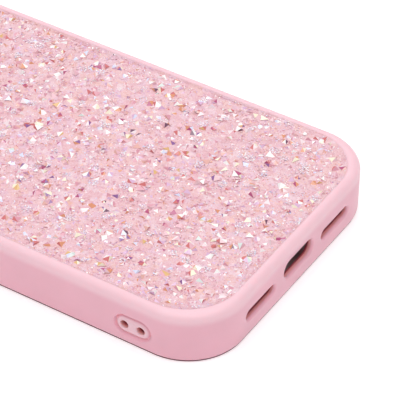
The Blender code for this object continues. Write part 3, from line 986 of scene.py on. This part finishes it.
def make_camera():
    """Looks down at the bottom end of the case from its lanyard side, through a long lens."""
    cos_e, sin_e = math.cos(VIEW_ELEVATION), math.sin(VIEW_ELEVATION)
    back = Vector((math.sin(VIEW_AZIMUTH) * cos_e, -math.cos(VIEW_AZIMUTH) * cos_e, sin_e))
    level = Vector((math.cos(VIEW_AZIMUTH), math.sin(VIEW_AZIMUTH), 0.0))
    upright = back.cross(level)
    right = level * math.cos(VIEW_ROLL) + upright * math.sin(VIEW_ROLL)
    up = back.cross(right)
    data = bpy.data.cameras.new("camera")
    data.lens = LENS
    data.sensor_width = SENSOR
    data.clip_start = 10 * MM
    camera = linked("camera", data)
    turn = Matrix((right, up, back)).transposed().to_4x4()
    camera.matrix_world = Matrix.Translation(VIEW_TARGET + back * VIEW_DISTANCE) @ turn
    bpy.context.scene.camera = camera
    bpy.context.scene.view_settings.view_transform = "Standard"


def area_light(name, azimuth, elevation, distance, size, power):
    """A square softbox that faces the middle of the case, with the angles in degrees."""
    azimuth, elevation = math.radians(azimuth), math.radians(elevation)
    away = Vector((
        math.sin(azimuth) * math.cos(elevation),
        -math.cos(azimuth) * math.cos(elevation),
        math.sin(elevation),
    ))
    data = bpy.data.lights.new(name, "AREA")
    data.shape = "SQUARE"
    data.size = size
    data.energy = power
    light = linked(name, data)
    light.location = away * distance
    light.rotation_euler = away.to_track_quat("Z", "Y").to_euler()


def make_lights():
    """White surroundings, a large softbox overhead, another from behind, and a small one for sparkle."""
    world = bpy.data.worlds.new("studio")
    world.use_nodes = True
    background = world.node_tree.nodes["Background"]
    background.inputs["Color"].default_value = (1.0, 1.0, 1.0, 1.0)
    background.inputs["Strength"].default_value = WORLD_LIGHT
    bpy.context.scene.world = world
    area_light("overhead", azimuth=-10, elevation=80, distance=1.2, size=1.0, power=10.0)
    area_light("sheen", azimuth=125, elevation=45, distance=1.2, size=0.8, power=3.0)
    area_light("glint", azimuth=-120, elevation=55, distance=1.0, size=0.16, power=1.0)


def make_floor():
    """A floor that is white round the case, with painted shadow: dark where the foot shades it, and greyer
    under the middle.
    """
    outlines = [rounded_rectangle(FLOOR_SIZE, FLOOR_SIZE, FLOOR_CORNER)]
    for inset in (FLOOR_SHADE_INSET, FLOOR_INSIDE_INSET):
        outlines.append(
            rounded_rectangle(CASE_WIDTH - 2 * inset, CASE_LENGTH - 2 * inset, CORNER_RADIUS - inset)
        )
    count = len(outlines[0])
    steps = range(count)
    ring = [(i, (i + 1) % count, count + (i + 1) % count, count + i) for i in steps]
    for name, rings, faces, albedo, glow in (
        ("floor", outlines[:2], ring, (0.7, 0.7, 0.7), FLOOR_GLOW),
        ("floor_shade", outlines[1:], ring, (0.38, 0.23, 0.26), 0.0),
        ("floor_inside_shade", outlines[2:], [tuple(steps)], (0.6, 0.55, 0.55), 0.0),
    ):
        vertices = [(x, y, -FLOOR_DROP) for outline in rings for x, y in outline]
        piece = mesh_object(name, vertices, faces, smooth=False)
        material, _, _ = new_material(
            name, Base_Color=(*albedo, 1.0), Roughness=0.9, Specular_IOR_Level=0.1,
            Emission_Color=(1.0, 1.0, 1.0, 1.0), Emission_Strength=glow,
        )
        paint(piece, material)


# ---- the case --------------------------------------------------------------------------------------

make_camera()
make_lights()
make_floor()

case_pink = soft_plastic("soft_pink", SOFT_PINK)
bumper_pink = soft_plastic("bumper_pink", SOFT_PINK)
shade_bumper(bumper_pink)
bumper = make_bumper()
paint(bumper, bumper_pink)
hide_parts("bumper_frame")
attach(bumper, "case")

bezel = make_bezel()
paint(bezel, case_pink)
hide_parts("camera_bezel")
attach(bezel, "case")

button_pink = soft_plastic("button_pink", SOFT_PINK)
for node, place in button_places().items():
    button = make_button(node, *place)
    paint(button, button_pink)
    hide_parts(node)
    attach(button, node)

bed = make_bed()
paint(bed, resin("pink_resin"))
stones, granules = make_crystals([facet_material("facet_" + row[0], row[1]) for row in FACETS])
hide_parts("crystal_sheet")
for piece in (bed, stones, granules):
    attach(piece, "case")

paint(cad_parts["back_plate"], clear_plate("clear_plate"))
paint(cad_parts["adhesive_sheet"], film("adhesive", srgb(228, 196, 200), srgb(244, 222, 224), 0.0))
paint(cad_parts["carrier_foil"], film("foil", srgb(226, 150, 164), srgb(248, 190, 198), 0.6))
